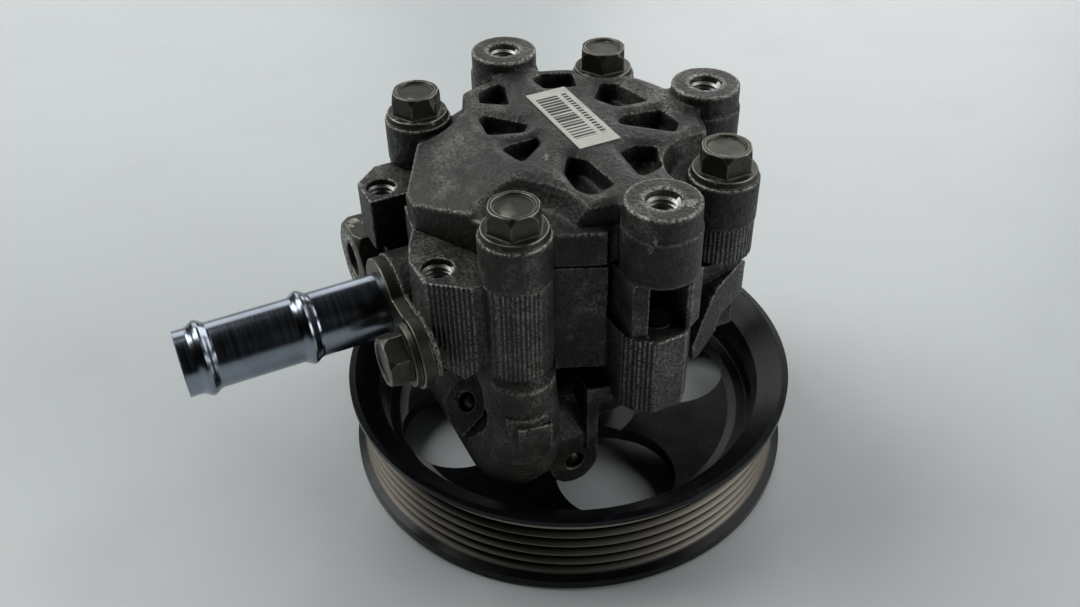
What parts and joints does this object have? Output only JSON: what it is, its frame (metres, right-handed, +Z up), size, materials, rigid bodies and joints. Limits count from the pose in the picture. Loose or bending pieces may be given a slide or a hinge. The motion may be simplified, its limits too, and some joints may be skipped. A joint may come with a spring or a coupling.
{
  "type": "power steering pump",
  "caption": "Belt-driven power steering vane pump: cast housing and ribbed cover, ribbed belt pulley with web windows, side suction tube on a bolted flange, outlet union and flow valve.",
  "frame": {"origin": "centre of the pulley's front rim plane, on the shaft axis", "axes": "+Z up along the shaft axis from the pulley to the rear cover, -X along the suction tube, +Y by the right-hand rule"},
  "size_m": [0.1714, 0.13, 0.1076],
  "materials": {
    "cast_aluminium": "aged as-cast, oily and dirty",
    "zinc_plated_steel": "dull aged zinc",
    "bright_zinc_steel": "bright zinc",
    "black_coated_steel": "gloss black coating, worn in the grooves",
    "ground_steel": "ground",
    "sintered_iron": "machined",
    "nitrile_rubber": "matt",
    "bronze": "plain",
    "label_film": "matt printed film"
  },
  "bodies": {
    "pump_body": {"front_housing": "cast_aluminium", "rear_cover": "cast_aluminium", "cover_bolts": "zinc_plated_steel", "cover_label": "label_film", "suction_tube": "bright_zinc_steel", "suction_flange": "zinc_plated_steel", "suction_flange_bolt": "zinc_plated_steel", "suction_o_ring": "nitrile_rubber", "outlet_union": "zinc_plated_steel", "outlet_seal": "bronze", "valve_plug": "zinc_plated_steel", "valve_plug_seal": "bronze", "flow_valve_spring": "ground_steel", "passage_plugs": "ground_steel", "bearing_outer_race": "ground_steel", "bearing_circlip": "ground_steel", "shaft_seal": "nitrile_rubber", "shaft_bush": "bronze", "front_plate": "sintered_iron", "cam_ring": "sintered_iron", "rear_plate": "sintered_iron", "dowel_pins": "ground_steel", "cover_o_ring": "nitrile_rubber"},
    "rotating_group": {"pulley": "black_coated_steel", "pulley_nut": "zinc_plated_steel", "pulley_washer": "zinc_plated_steel", "drive_shaft": "ground_steel", "bearing_inner_race": "ground_steel", "rotor": "sintered_iron", "vanes": "ground_steel", "rotor_snap_ring": "ground_steel"},
    "ball_set": {"bearing_balls": "ground_steel", "bearing_cage": "bronze"},
    "flow_valve": {"flow_valve_spool": "ground_steel"}
  },
  "joints": [
    {"name": "shaft_spin", "type": "hinge", "parent": "pump_body", "child": "rotating_group", "pos_m": [0, 0, 0.05], "axis": [0, 0, 1], "continuous": true},
    {"name": "ball_spin", "type": "hinge", "parent": "pump_body", "child": "ball_set", "pos_m": [0, 0, 0.0336], "axis": [0, 0, 1], "continuous": true},
    {"name": "spool_slide", "type": "slide", "parent": "pump_body", "child": "flow_valve", "axis": [0, -1, 0], "range_m": [0, 0.009], "stiffness_N_per_m": 6000, "springref_m": -0.004, "deforming": ["flow_valve_spring"]}
  ],
  "couplings": [
    {"joint": "ball_spin", "follows": "shaft_spin", "ratio": 0.38772}
  ]
}
